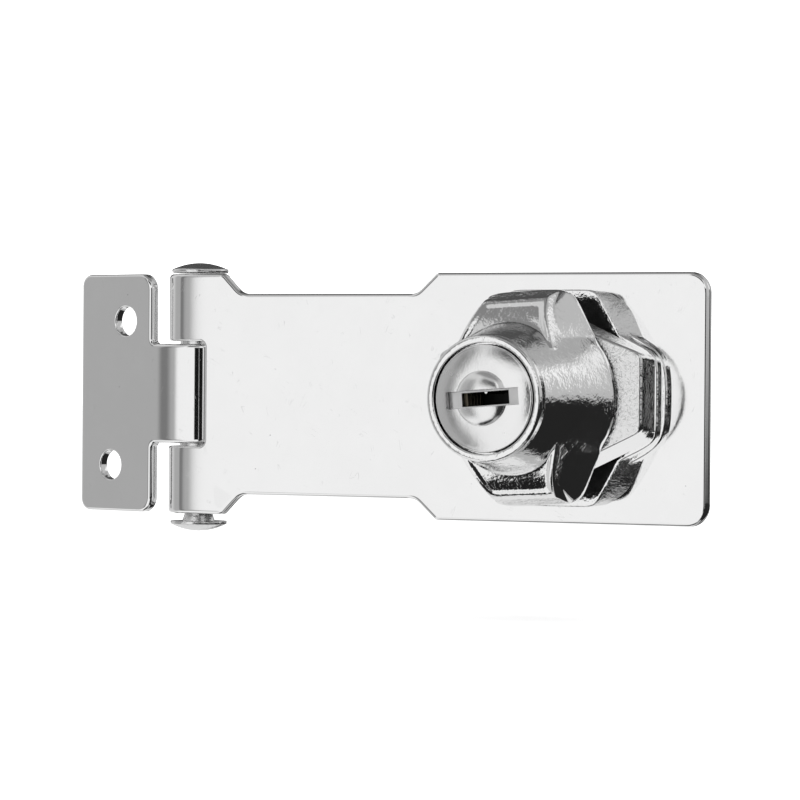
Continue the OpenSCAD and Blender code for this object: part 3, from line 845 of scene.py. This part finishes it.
# Cards round the object, as they show in the chrome. A later card covers an earlier one.
# Azimuth 0 is in front and 90 to the right. Angles are in degrees, and tones from 0 to 255.
# name: (azimuth from, to), (elevation from, to), tone, (soft edge in azimuth, in elevation)
STUDIO = {
    "left_wall": ((-150, -82), (-90, 90), 206, (24, 4)),
    "dark_door": ((-50, -39.5), (-34, 34), 120, (7, 8)),
    "white_card": ((-33, 46), (-60, 50), 242, (5, 9)),
    "low_left_card": ((-92, -34), (-60, -34), 240, (8, 4)),
    "high_left_card": ((-92, -34), (35, 57), 206, (8, 5)),
    "valance": ((-24, 30), (25, 46), 58, (10, 8)),
    "black_flag": ((10.5, 42), (-15, 14), 22, (4, 6)),
    "lens_slit": ((26.8, 28.3), (-7, 7), 190, (1, 4)),
    "low_right": ((26, 60), (-60, -10), 36, (8, 6)),
    "right_wall": ((54, 142), (1, 90), 188, (8, 4)),
    "right_below": ((46, 172), (-60, -1), 36, (6, 4)),
    "right_low": ((46, 150), (-90, -60), 176, (6, 6)),
    "right_strip": ((132, 159), (9, 30), 248, (5, 6)),
    "back_right": ((142, 158), (-12, 10), 46, (6, 6)),
    "back_right_above": ((156, 190), (12, 41), 184, (6, 4)),
    "back_right_below": ((174, 190), (-70, -12), 180, (6, 6)),
    "back_left_above": ((190, 238), (1, 58), 78, (8, 3)),
    "back_left_below": ((190, 240), (-70, -1), 228, (6, 3)),
    "back_left_low": ((184, 206), (-26, -2), 50, (6, 5)),
    "ceiling": ((-180, 180), (56, 90), 132, (1, 8)),
    "back_top": ((168, 214), (42, 82), 70, (14, 6)),
    "table": ((-110, 50), (-90, -62), 30, (8, 4)),
}
# The tone between the cards, and the strength of the plain white room
WALLS = 168
ROOM_LIGHT = 1.7


def linear(tone):
    """Brightness 0 to 255 on screen as linear light."""
    t = tone / 255
    return t / 12.92 if t <= 0.04045 else ((t + 0.055) / 1.055) ** 2.4


def card_mask(n, azimuth, elevation, card):
    """1 in the directions that a card of the studio covers, and 0 elsewhere."""
    (left, right), (low, high), _, (soft_a, soft_e) = card
    middle, reach = (left + right) / 2, (right - left) / 2
    turned = n.math("ABSOLUTE", n.math("WRAP", n.math("SUBTRACT", azimuth, middle), 180.0, -180.0))
    across = n.span(turned, reach - soft_a / 2, reach + soft_a / 2, 1.0, 0.0)
    above = n.span(elevation, low - soft_e / 2, low + soft_e / 2)
    below = n.span(elevation, high - soft_e / 2, high + soft_e / 2, 1.0, 0.0)
    return n.math("MULTIPLY", across, n.math("MULTIPLY", above, below))


def studio_world():
    """A white room to the eye and to the floor, and a set of cards to whatever reflects."""
    world = bpy.data.worlds.new("studio")
    world.use_nodes = True
    bpy.context.scene.world = world
    n = Nodes(world.node_tree)
    direction = n.add("ShaderNodeTexCoord").outputs["Generated"]
    way = n.add("ShaderNodeSeparateXYZ", {0: direction}).outputs
    azimuth = n.math("DEGREES", n.math("ARCTAN2", way["X"], n.math("MULTIPLY", way["Y"], -1.0)))
    elevation = n.math("DEGREES", n.math("ARCSINE", way["Z"]))
    light = linear(WALLS)
    for card in STUDIO.values():
        light = n.grey_mix(card_mask(n, azimuth, elevation, card), light, linear(card[2]))
    seen = n.colour(light, light, light)
    cards = n.add("ShaderNodeBackground", {"Color": seen, "Strength": 1.0}).outputs[0]
    room = n.add("ShaderNodeBackground", {"Color": (1, 1, 1, 1), "Strength": ROOM_LIGHT}).outputs[0]
    glossy = n.add("ShaderNodeLightPath").outputs["Is Glossy Ray"]
    both = n.add("ShaderNodeMixShader", {0: glossy, 1: room, 2: cards}).outputs[0]
    n.add("ShaderNodeOutputWorld", {"Surface": both})


def floor():
    """A plain pale floor that the chrome doesn't mirror."""
    side, drop = 3.0, 0.012
    made = bpy.data.materials.new("pale_floor")
    made.use_nodes = True
    n = Nodes(made.node_tree)
    grain = n.noise(n.add("ShaderNodeTexCoord").outputs["Object"], 60.0)
    tone = n.span(grain, 0.3, 0.7, 0.84, 0.86)
    surface = n.add("ShaderNodeBsdfDiffuse", {"Color": n.colour(tone, tone, tone)}).outputs[0]
    n.add("ShaderNodeOutputMaterial", {"Surface": surface})
    mesh = bpy.data.meshes.new("floor")
    z = cad_low.z - drop
    corners = [(-side, -side, z), (side, -side, z), (side, side, z), (-side, side, z)]
    mesh.from_pydata(corners, [], [(0, 1, 2, 3)])
    mesh.materials.append(made)
    ground = bpy.data.objects.new("floor", mesh)
    ground.visible_glossy = False
    bpy.context.scene.collection.objects.link(ground)


def softbox():
    """One large soft lamp overhead, for the shadow on the floor."""
    lamp = bpy.data.lights.new("softbox", "AREA")
    lamp.shape, lamp.size, lamp.energy = "DISK", 0.8, 0.3
    top = bpy.data.objects.new("softbox", lamp)
    top.location = (-0.2, -0.4, 0.9)
    top.rotation_euler = (Vector((0, 0, 0)) - top.location).to_track_quat("-Z", "Y").to_euler()
    top.visible_glossy = False
    bpy.context.scene.collection.objects.link(top)


def camera():
    """A long lens, to the right of straight on and almost level."""
    azimuth, elevation, roll = math.radians(27.44), math.radians(0.46), math.radians(0.45)
    distance, lens, sensor = 0.700, 184.2, 36
    middle = (cad_low + cad_high) / 2
    # The camera's aim is a little to the left of the object's middle, and behind its back
    aim = Vector((middle.x - 3.42 * MM, 6.605 * MM, middle.z - 0.33 * MM))
    data = bpy.data.cameras.new("camera")
    data.lens, data.sensor_width = lens, sensor
    data.clip_start, data.clip_end = 0.01, 20
    level = math.cos(elevation)
    back = Vector((math.sin(azimuth) * level, -math.cos(azimuth) * level, math.sin(elevation)))
    upright = (-back).to_track_quat("-Z", "Y").to_matrix()
    turned = (upright @ Matrix.Rotation(roll, 3, "Z")).to_4x4()
    shot = bpy.data.objects.new("camera", data)
    shot.matrix_world = Matrix.Translation(aim + back * distance) @ turned
    bpy.context.scene.collection.objects.link(shot)
    bpy.context.scene.camera = shot


hasp_plate()
hinge_leaf()
pin_cap()
lock_housing()
knob()
bezel()
key_plug()
bolt_coil()
dress_cad_nodes()
studio_world()
floor()
softbox()
camera()
bpy.context.scene.view_settings.view_transform = "Standard"
